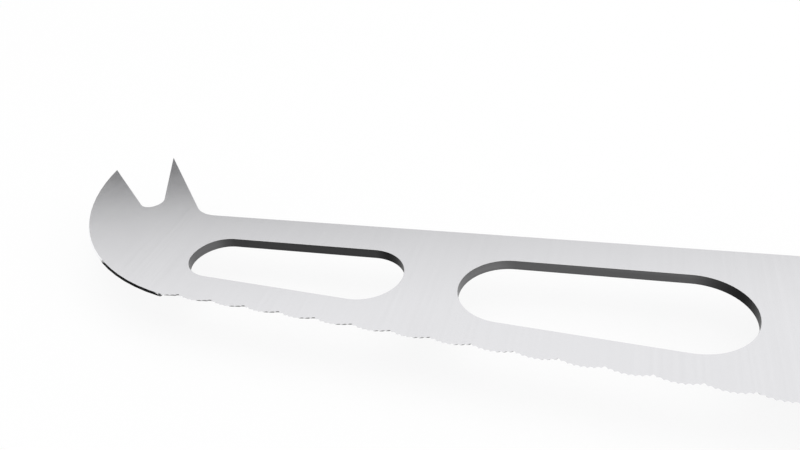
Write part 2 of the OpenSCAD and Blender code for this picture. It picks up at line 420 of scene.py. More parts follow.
@dataclass(frozen=True)
class MouldedPlastic:
    """A satin moulded plastic, with pebbled grain and rubbed places."""

    name: str
    colour: Colour
    roughness: float = 0.42
    grain_size: float = 0.22 * MM
    grain_depth: float = 0.16
    grain_height: float = 0.02 * MM
    flow_tones: tuple[float, float] = (0.8, 1.25)
    rub: float = 0.1
    rub_size: float = 14 * MM

    def material(self, effects: Effects) -> bpy.types.Material:
        """Builds the finish.

        Args:
            effects: The shared shader groups.

        Returns:
            The material.
        """
        made, canvas, where = surface(self.name)
        grain = canvas.add(
            "ShaderNodeGroup",
            {"Vector": where, "Grain Size": self.grain_size},
            node_tree=effects.pebble,
        ).outputs
        marks = canvas.add(
            "ShaderNodeGroup",
            {"Vector": where, "Smudge Size": self.rub_size},
            node_tree=effects.handling,
        ).outputs
        shade = canvas.spread(grain["Flow"], *self.flow_tones)
        shader = canvas.add(
            "ShaderNodeBsdfPrincipled",
            {
                "Base Color": canvas.scaled(self.colour, shade),
                "Roughness": canvas.spread(
                    marks["Smudge"], self.roughness, self.roughness - self.rub
                ),
                "IOR": 1.5,
                "Normal": canvas.bump(grain["Height"], self.grain_depth, self.grain_height),
            },
        )
        canvas.add("ShaderNodeOutputMaterial", {"Surface": shader.outputs[0]})
        return made


def solid_copy(node: str) -> bmesh.types.BMesh:
    """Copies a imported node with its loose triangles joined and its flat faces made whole.

    Args:
        node: The node's name.

    Returns:
        The copy, which the caller frees.
    """
    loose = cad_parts[node].data.copy()
    loose.attributes.remove(loose.attributes["custom_normal"])
    solid = bmesh.new()
    solid.from_mesh(loose)
    bpy.data.meshes.remove(loose)
    for face in solid.faces:
        face.smooth = True
    bmesh.ops.remove_doubles(solid, verts=solid.verts, dist=SAME_POINT)
    flat = math.radians(FLAT_ANGLE)
    bmesh.ops.dissolve_limit(solid, angle_limit=flat, verts=solid.verts, edges=solid.edges)
    return solid


def break_edges(
    solid: bmesh.types.BMesh, edges: list[bmesh.types.BMEdge], width: float, clamp: bool = False
) -> None:
    """Cuts a narrow flat along edges.

    Args:
        solid: The solid.
        edges: The edges to break.
        width: How far the flat reaches to each side.
        clamp: Whether the flat narrows where it would meet another one.
    """
    bmesh.ops.bevel(
        solid,
        geom=edges,
        offset=width,
        offset_type="OFFSET",
        segments=1,
        profile=0.5,
        affect="EDGES",
        clamp_overlap=clamp,
    )
    solid.normal_update()


def fill_holes(solid: bmesh.types.BMesh) -> None:
    """Closes every open rim with a flat face."""
    bmesh.ops.holes_fill(solid, edges=[edge for edge in solid.edges if edge.is_boundary])


def disc(radius: float, height: float, segments: int) -> bmesh.types.BMesh:
    """Makes a flat round face.

    Args:
        radius: Its radius.
        height: Its place along Z.
        segments: The number of its corners.

    Returns:
        The face.
    """
    solid = bmesh.new()
    bmesh.ops.create_circle(solid, cap_ends=True, segments=segments, radius=radius)
    bmesh.ops.translate(solid, verts=solid.verts, vec=(0, 0, height))
    return solid


def flat_sheets(outlines: Iterable[Iterable[Vector]]) -> bmesh.types.BMesh:
    """Makes a flat face of each outline.

    Args:
        outlines: The corners of each face.

    Returns:
        The faces.
    """
    solid = bmesh.new()
    for outline in outlines:
        solid.faces.new([solid.verts.new(corner) for corner in outline])
    return solid


def piece_from(
    solid: bmesh.types.BMesh, name: str, materials: Iterable[bpy.types.Material], crease: float = 30
) -> bpy.types.Object:
    """Makes a shaded piece of a solid and frees it.

    Args:
        solid: The solid.
        name: The piece's name.
        materials: The materials, in the order of the faces' indices.
        crease: The least angle of a sharp edge, in degrees.

    Returns:
        The piece, linked to the scene.
    """
    mesh = bpy.data.meshes.new(name)
    solid.normal_update()
    for edge in solid.edges:
        edge.smooth = edge.is_manifold and edge.calc_face_angle() < math.radians(crease)
    solid.to_mesh(mesh)
    solid.free()
    for material in materials:
        mesh.materials.append(material)
    made = bpy.data.objects.new(name, mesh)
    bpy.context.scene.collection.objects.link(made)
    return made


def seat(piece: bpy.types.Object, slot: str, *nodes: str) -> None:
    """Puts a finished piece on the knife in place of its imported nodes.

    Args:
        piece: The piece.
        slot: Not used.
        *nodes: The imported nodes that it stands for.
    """
    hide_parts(*nodes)
    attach(piece, BODY)
    LOG.info("%s: %d faces, stands for %s", piece.name, len(piece.data.polygons), ", ".join(nodes))


def lathe(profile: Iterable[tuple[float, float]], segments: int = 96) -> bmesh.types.BMesh:
    """Turns a profile round the Z axis into a closed solid.

    Args:
        profile: Distances from the axis and heights, which start and end on the axis.
        segments: The number of steps round the axis.

    Returns:
        The solid, whose points keep their distance from the axis as an attribute.
    """
    solid = bmesh.new()
    distance = solid.verts.layers.float_vector.new(AXIS_DISTANCE)
    rings = []
    for radius, height in profile:
        turns = [2 * math.pi * i / segments for i in range(segments if radius > 0 else 1)]
        places = [(radius * math.cos(turn), radius * math.sin(turn), height) for turn in turns]
        ring = [solid.verts.new(place) for place in places]
        for vert in ring:
            vert[distance] = (radius, 0, 0)
        rings.append(ring)
    for low, high in zip(rings, rings[1:]):
        for i in range(segments):
            j = i + 1
            corners = [low[i % len(low)], low[j % len(low)]]
            corners += [high[j % len(high)], high[i % len(high)]]
            solid.faces.new(list(dict.fromkeys(corners)))
    bmesh.ops.recalc_face_normals(solid, faces=solid.faces)
    for face in solid.faces:
        face.smooth = True
    return solid


def grow(piece: bpy.types.Object, tree: bpy.types.NodeTree, values: dict[str, object]) -> None:
    """Runs a Geometry Nodes tree on a piece and keeps the result as its plain mesh.

    Args:
        piece: The piece that the tree starts from.
        tree: The tree.
        values: The tree's inputs by name.
    """
    nodes = piece.modifiers.new(tree.name, "NODES")
    nodes.node_group = tree
    for item in tree.interface.items_tree:
        if item.in_out == "INPUT" and item.name in values:
            nodes[item.identifier] = values[item.name]
    keep_modified(piece)


def keep_modified(piece: bpy.types.Object) -> None:
    """Replaces a piece's mesh by what its modifiers make of it, and removes them.

    Args:
        piece: The piece.
    """
    graph = bpy.context.evaluated_depsgraph_get()
    made = bpy.data.meshes.new_from_object(
        piece.evaluated_get(graph), preserve_all_data_layers=True, depsgraph=graph
    )
    made.name = piece.name
    piece.modifiers.clear()
    old = piece.data
    piece.data = made
    bpy.data.meshes.remove(old)


def discard(piece: bpy.types.Object) -> None:
    """Removes a helper piece with its mesh.

    Args:
        piece: The helper piece.
    """
    mesh = piece.data
    bpy.data.objects.remove(piece)
    bpy.data.meshes.remove(mesh)


def cut(piece: bpy.types.Object, cutter: bpy.types.Object) -> None:
    """Takes one piece away from another and discards it.

    Args:
        piece: The piece that stays.
        cutter: The piece that is taken away.
    """
    boolean = piece.modifiers.new("cut", "BOOLEAN")
    boolean.operation = "DIFFERENCE"
    boolean.solver = "EXACT"
    boolean.object = cutter
    keep_modified(piece)
    discard(cutter)


def dress(canvas: Canvas, shape: Socket, finish: Socket) -> None:
    """Ends a Geometry Nodes tree: makes its instances real and gives them their material.

    Args:
        canvas: The tree's canvas.
        shape: The geometry.
        finish: The material.
    """
    real = canvas.add("GeometryNodeRealizeInstances", {"Geometry": shape})
    dressed = canvas.add(
        "GeometryNodeSetMaterial", {"Geometry": real.outputs[0], "Material": finish}
    )
    canvas.add("NodeGroupOutput", {"Piece": dressed.outputs[0]})


class Scatter:
    """A Geometry Nodes tree that repeats one part at a list of places."""

    INPUTS = {
        "Places": "Geometry",
        "Part": "Object",
        "Turn": "Vector",
        "Spin": "Float",
        "Seed": "Int",
        "Finish": "Material",
    }

    def __init__(self) -> None:
        """Builds the tree."""
        canvas, given = node_group(
            "GeometryNodeTree", "repeated_part", self.INPUTS, {"Piece": "Geometry"}
        )
        self.tree = canvas.tree
        part = canvas.add("GeometryNodeObjectInfo", {"Object": given["Part"], "As Instance": True})
        # A random value's inputs share their names, so the number's upper limit goes by its place
        spin = canvas.add(
            "FunctionNodeRandomValue",
            {"Min": 0.0, 3: given["Spin"], "Seed": given["Seed"]},
            data_type="FLOAT",
        )
        about = canvas.add("ShaderNodeCombineXYZ", {"Z": spin.outputs[1]})
        turned = canvas.add(
            "FunctionNodeRotateEuler",
            {"Rotation": given["Turn"], "Rotate By": about.outputs[0]},
            rotation_type="EULER",
            space="LOCAL",
        )
        copies = canvas.add(
            "GeometryNodeInstanceOnPoints",
            {
                "Points": given["Places"],
                "Instance": part.outputs["Geometry"],
                "Rotation": turned.outputs[0],
            },
        )
        dress(canvas, copies.outputs[0], given["Finish"])

    def build(
        self,
        name: str,
        part: bmesh.types.BMesh,
        places: Iterable[Point],
        finish: bpy.types.Material,
        turn: Point = (0, 0, 0),
        seed: int = 1,
    ) -> bpy.types.Object:
        """Repeats a part, and frees its solid.

        Args:
            name: The name of the piece made.
            part: The part's solid, in its own place.
            places: Where the copies go.
            finish: The material.
            turn: How each copy is turned, in radians.
            seed: The seed of each copy's spin about its own axis.

        Returns:
            One piece with all the copies.
        """
        pattern = piece_from(part, f"{name}_pattern", [])
        points = bmesh.new()
        for place in places:
            points.verts.new(place)
        piece = piece_from(points, name, [finish])
        spin = 2 * math.pi
        values = {"Part": pattern, "Turn": turn, "Spin": spin, "Seed": seed, "Finish": finish}
        grow(piece, self.tree, values)
        discard(pattern)
        return piece


class Loft:
    """A Geometry Nodes tree that draws a section all round an outline."""

    INPUTS = {
        "Outline": "Geometry",
        "Section": "Object",
        "Front": "Float",
        "Merge": "Float",
        "Finish": "Material",
    }
    # Points that the tree puts closer than this become one
    MERGE = 0.001 * MM

    def __init__(self) -> None:
        """Builds the tree."""
        canvas, given = node_group(
            "GeometryNodeTree", "section_round_outline", self.INPUTS, {"Piece": "Geometry"}
        )
        self.tree = canvas.tree
        outline = given["Outline"]
        pattern = canvas.add("GeometryNodeObjectInfo", {"Object": given["Section"]})
        section = pattern.outputs["Geometry"]
        around, rings = (
            canvas.add("GeometryNodeAttributeDomainSize", {0: held}).outputs["Point Count"]
            for held in (outline, section)
        )
        columns = canvas.math("ADD", around, 1)
        sheet = canvas.add("GeometryNodeMeshGrid", {"Vertices X": columns, "Vertices Y": rings})
        index = canvas.add("GeometryNodeInputIndex").outputs[0]
        place = canvas.add("GeometryNodeInputPosition").outputs[0]
        inward = canvas.add(
            "GeometryNodeInputNamedAttribute", {"Name": INWARD}, data_type="FLOAT_VECTOR"
        ).outputs["Attribute"]
        column = canvas.math("FLOOR", canvas.math("DIVIDE", index, rings))
        station = canvas.math("MODULO", column, around)
        ring = canvas.math("MODULO", index, rings)
        start = self.sample(canvas, outline, place, station)
        toward = self.sample(canvas, outline, inward, station)
        step = self.sample(canvas, section, place, ring)
        inset, gap, height = canvas.add("ShaderNodeSeparateXYZ", {0: step}).outputs
        shift = canvas.scaled(toward, inset)
        moved = canvas.add("ShaderNodeVectorMath", {0: start, 1: shift}, operation="ADD")
        x, y, _ = canvas.add("ShaderNodeSeparateXYZ", {0: moved.outputs[0]}).outputs
        behind = canvas.math("MAXIMUM", x, canvas.math("ADD", given["Front"], gap))
        target = canvas.add("ShaderNodeCombineXYZ", {"X": behind, "Y": y, "Z": height})
        placed = canvas.add(
            "GeometryNodeSetPosition",
            {"Geometry": sheet.outputs["Mesh"], "Position": target.outputs[0]},
        )
        closed = canvas.add(
            "GeometryNodeMergeByDistance",
            {"Geometry": placed.outputs[0], "Distance": given["Merge"]},
        )
        dress(canvas, closed.outputs[0], given["Finish"])

    @staticmethod
    def sample(canvas: Canvas, source: Socket, value: Socket, at: Socket) -> Socket:
        """Adds a lookup of one point's vector.

        Args:
            canvas: The canvas that gets the node.
            source: The geometry that holds the point.
            value: What to look up.
            at: The point's number.

        Returns:
            The vector.
        """
        inputs = {"Geometry": source, "Value": value, "Index": at}
        found = canvas.add("GeometryNodeSampleIndex", inputs, data_type="FLOAT_VECTOR")
        return found.outputs["Value"]

    def build(
        self,
        name: str,
        outline: Iterable[tuple[Vector, Vector]],
        section: Iterable[Point],
        front: float,
        finish: bpy.types.Material,
    ) -> bpy.types.Object:
        """Draws a section round an outline and closes both ends.

        Args:
            name: The name of the piece made.
            outline: Points in order, each with the direction to the inside.
            section: For each ring its inset, its gap at the front and its height.
            front: Where the piece starts along X.
            finish: The material.

        Returns:
            The closed piece.
        """
        points = bmesh.new()
        layer = points.verts.layers.float_vector.new(INWARD)
        for place, inward in outline:
            points.verts.new(place)[layer] = inward
        steps = bmesh.new()
        for ring in section:
            steps.verts.new(ring)
        pattern = piece_from(steps, f"{name}_section", [])
        piece = piece_from(points, name, [finish])
        values = {"Section": pattern, "Front": front, "Merge": self.MERGE, "Finish": finish}
        grow(piece, self.tree, values)
        discard(pattern)
        solid = bmesh.new()
        solid.from_mesh(piece.data)
        fill_holes(solid)
        bmesh.ops.recalc_face_normals(solid, faces=solid.faces)
        for face in solid.faces:
            face.smooth = True
        solid.to_mesh(piece.data)
        solid.free()
        return piece


@dataclass
class Blade:
    """The sheet steel blade with its tang. Its places are in the model's frame."""

    effects: Effects
    outline_break: float = 0.08 * MM
    slot_break: float = 0.02 * MM
    tip_break: float = 0.18 * MM
    # Edges behind this lie in the handle and stay sharp
    tang_x: float = -31 * MM
    # The hollow curve between the rear prong and the spine: its middle, the way that the prong's
    # wall faces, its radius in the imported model, its radius here, how high it reaches, and how far
    # off it a point of it may lie
    root_middle: tuple[float, float] = (-152.428 * MM, 20.949 * MM)
    root_wall: tuple[float, float] = (0.7613, 0.6484)
    root_radius: float = 9.9 * MM
    root_tight: float = 6 * MM
    root_top: float = 15 * MM
    root_play: float = 0.01 * MM
    # What bounds the slots: a height, the heel's side, and a band above the sloping edge
    slots_top: float = 4.5 * MM
    slots_end: float = -62 * MM
    slots_split: float = -110 * MM
    edge_slope: float = math.tan(math.radians(4.83))
    edge_height: float = -24.35 * MM
    edge_band: float = 3 * MM
    # How far up a normal points: at least on a flat face and on the sloped lip, and at most on the
    # ground side and on a straight wall
    flat_normal: float = 0.9995
    lip_normal: float = 0.3
    ground_normal: float = -0.65
    wall_normal: float = 0.02
    # Painted shade of a slot's wall, by how far it faces the handle: darker where it faces the fork
    front_painted_shades: Curve = (
        (-0.6, 0.02), (-0.3, 0.1), (0, 0.38), (0.35, 0.68), (0.6, 1.15), (1, 1.3)
    )
    rear_painted_shades: Curve = ((-0.8, 0.03), (-0.4, 0.34), (0, 0.92), (0.35, 1.35), (1, 1.45))
    face: Steel = Steel("blade_face", (0.79, 0.789, 0.807), 0.14, Grain.ACROSS)
    # The cut walls' colour is multiplied by their painted shade
    wall: Steel = Steel(
        "blade_wall", (0.12, 0.12, 0.122), 0.42, Grain.ROUND, line_gap=0.16 * MM, tone=0.3, seed=2,
        painted_shade_by=PAINTED_WALL_SHADE,
    )
    edge: Steel = Steel(
        "blade_edge", (0.94, 0.94, 0.95), 0.06, Grain.ACROSS, line_gap=0.06 * MM, line_depth=0.15,
        tone=0.03, seed=6,
    )
    ground: Steel = Steel(
        "blade_ground", (0.78, 0.78, 0.79), 0.16, Grain.ACROSS, line_gap=0.06 * MM, tone=0.05,
        seed=3,
    )

    def build(self) -> bpy.types.Object:
        """Breaks the edges of the sheet and gives each kind of face its finish.

        Returns:
            The blade.
        """
        solid = solid_copy("blade")
        self.tighten_root(solid)
        for width in (self.outline_break, self.slot_break):
            edges = [edge for edge in solid.edges if self.width_of(edge) == width]
            break_edges(solid, edges, width)
        self.blunt_tip(solid)
        for face in solid.faces:
            kind = self.kind_of(face.normal.z)
            face.material_index = kind
            face.smooth = kind is not BladeFace.FLAT
        # Each point's painted shade: the slots' walls are darker where they face the fork
        tone = solid.verts.layers.float.new(PAINTED_WALL_SHADE)
        for vert in solid.verts:
            vert[tone] = self.painted_shade_of(vert)
        finishes = (self.face, self.wall, self.edge, self.ground)
        materials = [finish.material(self.effects) for finish in finishes]
        made = piece_from(solid, "blade_sheet", materials)
        seat(made, "blade_steel", "blade")
        return made

    def kind_of(self, upward: float) -> BladeFace:
        """Sorts the faces by the way they were made.

        Args:
            upward: The Z part of a face's normal.

        Returns:
            The kind of face.
        """
        if abs(upward) > self.flat_normal:
            return BladeFace.FLAT
        if upward < self.ground_normal:
            return BladeFace.GROUND
        return BladeFace.EDGE if upward > self.lip_normal else BladeFace.WALL

    def tighten_root(self, solid: bmesh.types.BMesh) -> None:
        """Gives the hollow curve between the rear prong and the spine a smaller radius.

        Args:
            solid: The blade's mesh. The curve still ends on the prong's wall and on the spine.
        """
        middle, wall = Vector(self.root_middle), Vector(self.root_wall)
        height = middle.y - self.root_radius + self.root_tight
        reach = wall.dot(middle) - self.root_radius + self.root_tight
        tight_middle = Vector(((reach - wall.y * height) / wall.x, height))
        for vert in solid.verts:
            inward = middle - vert.co.xy
            on_curve = abs(inward.length - self.root_radius) < self.root_play
            if on_curve and vert.co.y < self.root_top and inward.x > -self.root_play:
                vert.co.xy = tight_middle - inward.normalized() * self.root_tight
        solid.normal_update()

    def blunt_tip(self, solid: bmesh.types.BMesh) -> None:
        """Takes the sharp point off the rear prong, which reaches farthest up.

        Args:
            solid: The blade's mesh.
        """
        top = max(vert.co.y for vert in solid.verts) - self.tip_break
        bmesh.ops.bisect_plane(
            solid,
            geom=[*solid.verts, *solid.edges, *solid.faces],
            plane_co=(0, top, 0),
            plane_no=(0, 1, 0),
            clear_outer=True,
        )
        fill_holes(solid)
        solid.normal_update()

    def painted_shade_of(self, vert: bmesh.types.BMVert) -> float:
        """Painted shade of the cut wall: the slots' walls are painted darker where they face the
        fork.

        Args:
            vert: A point of the blade.

        Returns:
            A factor for the colour of the wall, which paints its shade.
        """
        if not self.in_slot(vert.co):
            return 1
        toward = vert.normal.x / math.hypot(vert.normal.x, vert.normal.y)
        table = self.front_painted_shades if vert.co.x < self.slots_split else self.rear_painted_shades
        toward = min(max(toward, table[0][0]), table[-1][0])
        for (low, dark), (high, light) in zip(table, table[1:]):
            if toward <= high:
                return dark + (light - dark) * (toward - low) / (high - low)
        return table[-1][1]

    def in_slot(self, place: Vector) -> bool:
        """Whether a point of the outline belongs to a slot."""
        above_edge = place.y + place.x * self.edge_slope - self.edge_height
        return place.y < self.slots_top and above_edge > self.edge_band and place.x < self.slots_end

    def width_of(self, edge: bmesh.types.BMEdge) -> float:
        """How wide an edge is broken.

        Args:
            edge: An edge of the blade.

        Returns:
            The width: 0 except along the spine, the fork and the slots.
        """
        if len(edge.link_faces) != 2:
            return 0
        low, high = sorted(abs(face.normal.z) for face in edge.link_faces)
        if low > self.wall_normal or high < self.flat_normal:
            return 0
        middle = (edge.verts[0].co + edge.verts[1].co) / 2
        if middle.x > self.tang_x:
            return 0
        if middle.y > self.slots_top:
            return self.outline_break
        return self.slot_break if self.in_slot(middle) else 0


@dataclass(frozen=True)
class HandleShape:
    """The handle's outline and the places of its fasteners.

    Its own measures are from the heel and the spine, as in the drawing.
    """

    length: float = 114 * MM
    thickness: float = 17 * MM
    sheet: float = 1.7 * MM
    bolster: float = 14 * MM
    front: float = 24.4 * MM
    waist: float = 21.6 * MM
    waist_x: float = 40 * MM
    butt_depth: float = 27.4 * MM
    butt_low: float = 99 * MM
    butt_end: float = 97 * MM
    butt_share: float = 0.8
    back_drop: float = 2.6 * MM
    rounding: float = 4 * MM
    side_steps: int = 90
    butt_steps: int = 96
    rivets: tuple[float, ...] = (29 * MM, 60 * MM, 91 * MM)
    pins_x: float = 11.2296 * MM
    pin_gap: float = 10.5 * MM

    def back(self, x: float) -> float:
        """The height of the handle's back at a distance behind the heel."""
        run = max(x - self.bolster, 0) / (self.length - self.bolster)
        return -self.back_drop * run**2

    def under(self, x: float) -> float:
        """The height of the handle's underside.

        Args:
            x: The distance behind the heel.

        Returns:
            The height over the spine, which is below 0.
        """
        waist = self.back(self.waist_x) - self.waist
        if x < self.waist_x:
            run = (x - self.bolster) / (self.waist_x - self.bolster)
            return -self.front + (waist + self.front) * self.ease(run)
        run = (x - self.waist_x) / (self.butt_low - self.waist_x)
        return waist - (self.butt_depth + waist) * self.ease(run)

    @staticmethod
    def ease(run: float) -> float:
        """A smooth step from 0 to 1."""
        return (1 - math.cos(math.pi * min(max(run, 0), 1))) / 2

    def middle(self, x: float) -> float:
        """The height halfway up the handle."""
        return (self.back(x) + self.under(x)) / 2

    def butt(self, angle: float) -> tuple[float, float]:
        """A point of the rounded butt.

        Args:
            angle: Its place, from a quarter turn at the top to minus that at the foot.

        Returns:
            Its distance behind the heel, and its height.
        """
        reach = math.cos(angle) ** self.butt_share if abs(angle) < math.pi / 2 else 0
        x = self.butt_end + (self.length - self.butt_end) * reach
        rise = math.copysign(abs(math.sin(angle)) ** self.butt_share, angle)
        return x, self.middle(x) + rise * (self.back(x) - self.under(x)) / 2

    def outline(self) -> list[tuple[Vector, Vector]]:
        """The outline of a scale in the model's frame.

        Returns:
            Its points, from the top of the front end round the butt to the foot of that end, each
            with the direction to the inside.
        """
        run = self.butt_end - self.bolster
        straight = [self.bolster + run * i / self.side_steps for i in range(self.side_steps)]
        turns = [math.pi / 2 * (1 - 2 * i / self.butt_steps) for i in range(self.butt_steps + 1)]
        full = [(x, self.back(x)) for x in straight]
        full += [self.butt(angle) for angle in turns]
        full += [(x, self.under(x)) for x in reversed(straight)]
        points = []
        for i, (x, y) in enumerate(full):
            before, after = full[max(i - 1, 0)], full[min(i + 1, len(full) - 1)]
            along = Vector((after[0] - before[0], after[1] - before[1])).normalized()
            if i in (0, len(full) - 1):
                along = Vector((math.copysign(1, along.x), 0))
            points.append((DRAWING + Vector((x, y, 0)), Vector((along.y, -along.x, 0))))
        return points

    def places(self, xs: Iterable[float], offsets: Iterable[float], z: float) -> list[Point]:
        """Where fasteners go, in the model's frame.

        Args:
            xs: Distances behind the heel.
            offsets: Distances from the middle of the handle, for each of them.
            z: The height in the model's frame.

        Returns:
            The places.
        """
        return [
            (DRAWING.x + x, DRAWING.y + self.middle(x) + up, z) for x in xs for up in offsets
        ]


@dataclass
class Handle:
    """The bolster halves, the scales and their fasteners."""

    effects: Effects
    shape: HandleShape = HandleShape()
    head_radius: float = 4 * MM
    head_height: float = 2 * MM
    sleeve_radius: float = 2.5 * MM
    post_radius: float = 1.6 * MM
    shank: float = 12 * MM
    pin_radius: float = 1.5 * MM
    hairline: float = 0.02 * MM
    rim: float = 0.12 * MM
    round_steps: int = 14
    # Least angles of sharp edges, in degrees: on a scale, on a packed bolster, and on a bolster
    # whose edges are broken
    scale_crease: float = 30
    bolster_edge: float = 28
    bolster_crease: float = 25
    bolster: Steel = Steel(
        "bolster_polish", (0.76, 0.76, 0.77), 0.13, Grain.ACROSS, line_gap=0.05 * MM,
        line_depth=0.12, tone=0.01, smudge=0.06, seed=4,
    )
    rivet: Steel = Steel(
        "rivet_polish", (0.77, 0.77, 0.78), 0.17, Grain.TURNED, line_gap=0.09 * MM, line_depth=0.5,
        seed=5,
    )
    scale: MouldedPlastic = MouldedPlastic("scale_satin", (0.012, 0.012, 0.013))

    def build(self) -> None:
        """Builds the handle's pieces."""
        scale = self.scale.material(self.effects)
        bolster = self.bolster.material(self.effects)
        loft = Loft()
        for side, up in (("left", 1), ("right", -1)):
            seat(self.build_scale(loft, side, up, scale), "scale_plastic", f"scale_{side}")
            seat(self.build_bolster(side, bolster), "bolster_steel", f"bolster_{side}")
        self.build_fasteners(self.rivet.material(self.effects), bolster)

    def build_scale(
        self, loft: Loft, side: str, up: int, material: bpy.types.Material
    ) -> bpy.types.Object:
        """Lofts one scale from the tang to its flat face, and bores it for the rivets.

        Args:
            loft: The tree that draws it.
            side: The side's name.
            up: 1 for the left side, -1 for the right one.
            material: The finish.

        Returns:
            The scale.
        """
        shape = self.shape
        half = shape.thickness / 2
        rings = [(self.rim, self.rim, shape.sheet / 2), (0, 0, shape.sheet / 2 + self.rim)]
        for i in range(self.round_steps + 1):
            turn = math.pi / 2 * i / self.round_steps
            inset = shape.rounding * (1 - math.cos(turn))
            rings.append((inset, 0, half - shape.rounding * (1 - math.sin(turn))))
        rings.append((shape.rounding + self.rim, 0, half))
        section = [(inset, gap, DRAWING.z + up * rise) for inset, gap, rise in rings]
        front = DRAWING.x + shape.bolster
        piece = loft.build(f"scale_{side}_shell", shape.outline(), section, front, material)
        for place in shape.places(shape.rivets, (0,), DRAWING.z + up * half):
            cut(piece, self.counterbore(place, up))
        piece.data.set_sharp_from_angle(angle=math.radians(self.scale_crease))
        return piece

    def counterbore(self, place: Point, up: int) -> bpy.types.Object:
        """The stepped hole for one rivet, with a broken rim.

        Args:
            place: The middle of the hole's mouth.
            up: 1 if the hole opens upwards, -1 if downwards.

        Returns:
            A piece to cut with.
        """
        wide, rim, over = self.head_radius, self.rim, self.head_height
        foot = -self.shape.thickness / 2
        profile = [(0, foot), (self.sleeve_radius, foot), (self.sleeve_radius, -self.head_height)]
        profile += [(wide, -self.head_height), (wide, -rim), (wide + rim + over, over), (0, over)]
        solid = lathe(profile)
        bmesh.ops.scale(solid, verts=solid.verts, vec=(1, 1, up))
        bmesh.ops.recalc_face_normals(solid, faces=solid.faces)
        bmesh.ops.translate(solid, verts=solid.verts, vec=place)
        return piece_from(solid, "counterbore", [])

    def build_bolster(self, side: str, material: bpy.types.Material) -> bpy.types.Object:
        """Breaks the sharp edges of one bolster half.

        Args:
            side: The side's name.
            material: The finish.

        Returns:
            The bolster half.
        """
        solid = solid_copy(f"bolster_{side}")
        least = math.radians(self.bolster_edge)
        closed = [edge for edge in solid.edges if edge.is_manifold]
        sharp = [edge for edge in closed if edge.calc_face_angle() > least]
        break_edges(solid, sharp, self.rim, clamp=True)
        return piece_from(solid, f"bolster_{side}_shell", [material], self.bolster_crease)

    def build_fasteners(self, rivet: bpy.types.Material, pin: bpy.types.Material) -> None:
        """Builds the rivets and pins, each kind as one piece of repeated parts.

        Args:
            rivet: The finish of the rivets.
            pin: The finish of the pins.
        """
        scatter = Scatter()
        shape, rim = self.shape, self.rim
        wide = self.head_radius - self.hairline
        head = [(wide, -self.head_height), (wide, -rim), (wide - rim, 0), (0, 0)]
        end = -self.head_height - self.shank
        post = [(0, end), (self.post_radius - rim, end), (self.post_radius, end + rim)]
        post += [(self.post_radius, -self.head_height), *head]
        sleeve = [(0, -self.head_height), (self.post_radius, -self.head_height)]
        sleeve += [(self.post_radius, end), (self.sleeve_radius, end)]
        sleeve += [(self.sleeve_radius, -self.head_height), *head]
        thin = self.pin_radius - self.hairline
        low = rim - shape.thickness
        peg = [(0, -shape.thickness), (thin - rim, -shape.thickness), (thin, low), (thin, -rim)]
        peg += [(thin - rim, 0), (0, 0)]
        top = DRAWING.z + shape.thickness / 2
        numbers = range(1, len(shape.rivets) + 1)
        for kind, profile, z, turn in (
            ("post", post, top, 0),
            ("sleeve", sleeve, top - shape.thickness, math.pi),
        ):
            places = shape.places(shape.rivets, (0,), z)
            made = scatter.build(f"rivet_{kind}s", lathe(profile), places, rivet, (turn, 0, 0))
            seat(made, "rivet_steel", *(f"rivet_{i}_{kind}" for i in numbers))
        ends = (-shape.pin_gap / 2, shape.pin_gap / 2)
        places = shape.places((shape.pins_x,), ends, top)
        made = scatter.build("bolster_pins", lathe(peg), places, pin, seed=2)
        seat(made, "bolster_steel", "bolster_pin_1", "bolster_pin_2")


@dataclass(frozen=True)
class Softbox:
    """A square lamp that faces the knife."""

    name: str
    place: Point
    size: float
    power: float

    def hang(self) -> None:
        """Adds the lamp, which no mirror shows."""
        data = bpy.data.lights.new(self.name, "AREA")
        data.size = self.size
        data.energy = self.power
        made = bpy.data.objects.new(self.name, data)
        made.visible_glossy = False
        made.location = self.place
        made.rotation_euler = (-Vector(self.place)).to_track_quat("-Z", "Y").to_euler()
        bpy.context.scene.collection.objects.link(made)


